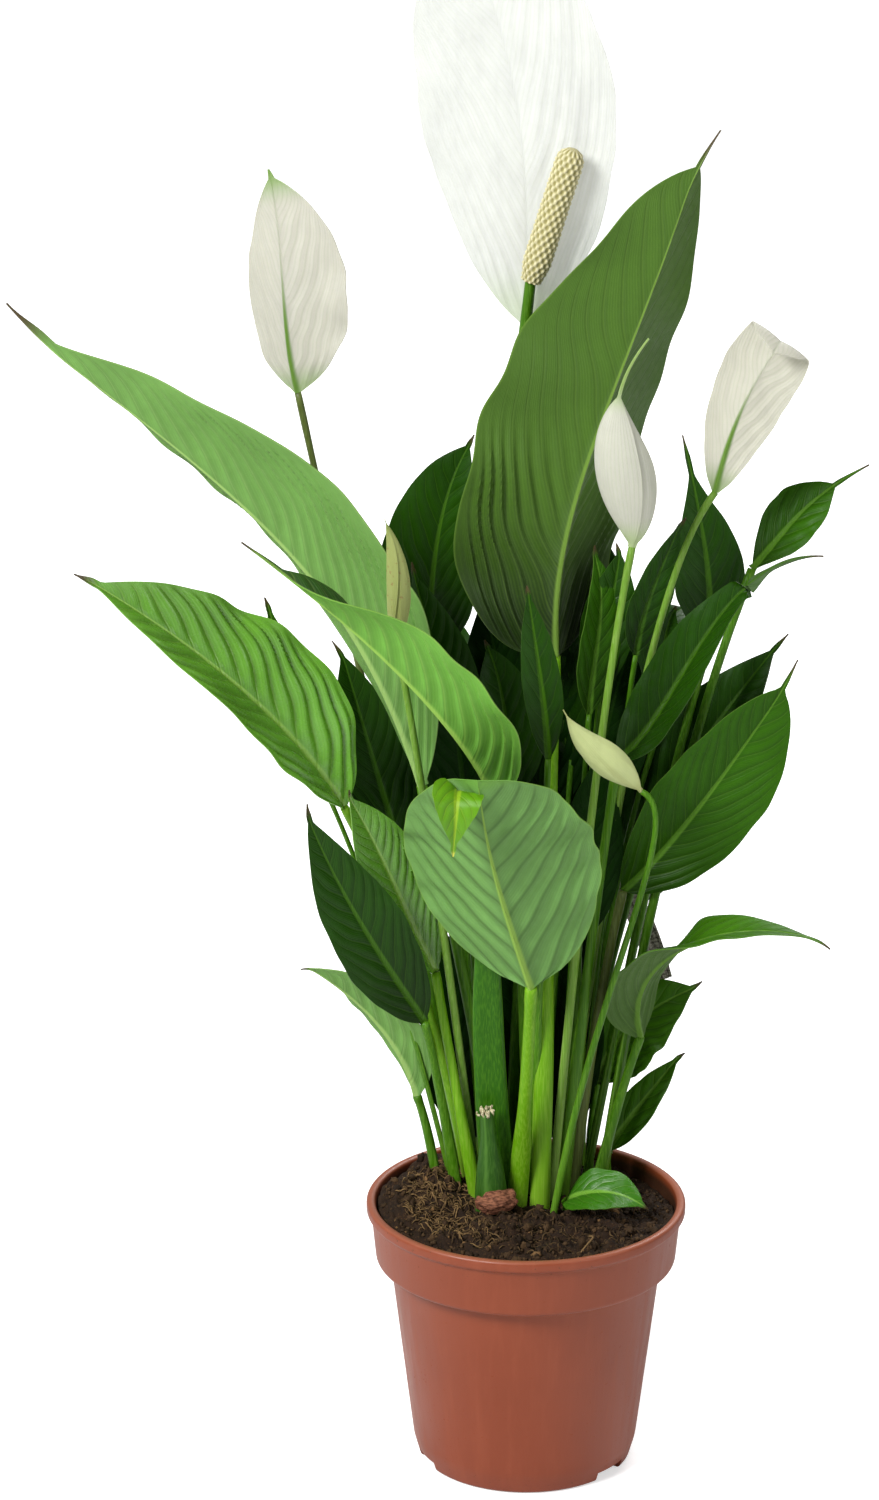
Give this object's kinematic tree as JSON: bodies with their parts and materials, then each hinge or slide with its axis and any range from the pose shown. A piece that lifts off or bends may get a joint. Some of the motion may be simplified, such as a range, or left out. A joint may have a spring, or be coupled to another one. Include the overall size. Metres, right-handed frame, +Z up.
{
  "type": "potted peace lily",
  "caption": "Potted peace lily: lance-shaped leaves and white spathes on slender stalks rise from peat in a round tapering plastic pot.",
  "frame": {"origin": "centre of the pot's flat underside", "axes": "+Z up out of the pot, -Y towards the front, +X to the right as seen from the front"},
  "size_m": [0.3115, 0.2313, 0.5782],
  "materials": {
    "pot_plastic": "satin",
    "peat_soil": "matte",
    "bark": "matte",
    "leaf_green": "satin",
    "leaf_dark_green": "satin",
    "leaf_pale_green": "satin",
    "leaf_stalk_green": "satin",
    "flower_stalk_green": "satin",
    "spathe_white": "matte",
    "bud_cream": "matte",
    "spadix_cream": "matte"
  },
  "bodies": {
    "root": {"leaf_upper_left": "leaf_pale_green", "leaf_stalk_upper_left": "leaf_stalk_green", "leaf_left": "leaf_green", "leaf_stalk_left": "leaf_stalk_green", "leaf_front_left": "leaf_pale_green", "leaf_stalk_front_left": "leaf_stalk_green", "leaf_centre": "leaf_dark_green", "leaf_stalk_centre": "leaf_stalk_green", "leaf_behind_left": "leaf_dark_green", "leaf_stalk_behind_left": "leaf_stalk_green", "leaf_front": "leaf_pale_green", "leaf_stalk_front": "leaf_stalk_green", "leaf_inner_left": "leaf_green", "leaf_stalk_inner_left": "leaf_stalk_green", "leaf_lower_left_dark": "leaf_dark_green", "leaf_stalk_lower_left_dark": "leaf_stalk_green", "leaf_lower_left_pale": "leaf_pale_green", "leaf_stalk_lower_left_pale": "leaf_stalk_green", "leaf_upright_right": "leaf_dark_green", "leaf_stalk_upright_right": "leaf_stalk_green", "leaf_upper_right": "leaf_green", "leaf_stalk_upper_right": "leaf_stalk_green", "leaf_long_right": "leaf_dark_green", "leaf_stalk_long_right": "leaf_stalk_green", "leaf_right": "leaf_green", "leaf_stalk_right": "leaf_stalk_green", "leaf_behind_right": "leaf_dark_green", "leaf_stalk_behind_right": "leaf_stalk_green", "leaf_lower_right": "leaf_pale_green", "leaf_stalk_lower_right": "leaf_stalk_green", "leaf_lower_right_dark": "leaf_dark_green", "leaf_low_right_small": "leaf_dark_green", "leaf_soil_level": "leaf_green", "leaf_inner_centre": "leaf_dark_green", "leaf_inner_far_left": "leaf_dark_green", "leaf_inner_upper_left": "leaf_dark_green", "leaf_inner_right": "leaf_dark_green", "leaf_back_left": "leaf_green", "leaf_back_centre": "leaf_green", "leaf_back_right": "leaf_green", "spathe_top": "spathe_white", "spadix_top": "spadix_cream", "flower_stalk_top": "flower_stalk_green", "spathe_left": "spathe_white", "spadix_left": "spadix_cream", "flower_stalk_left": "flower_stalk_green", "spathe_centre": "spathe_white", "flower_stalk_centre": "flower_stalk_green", "spathe_right": "spathe_white", "flower_stalk_right": "flower_stalk_green", "spathe_old_bud": "bud_cream", "flower_stalk_old_bud": "flower_stalk_green", "spathe_nodding_bud": "bud_cream", "flower_stalk_nodding_bud": "flower_stalk_green", "cut_stub": "leaf_stalk_green", "bark_chip": "bark", "pot": "pot_plastic", "soil": "peat_soil"}
  },
  "joints": []
}
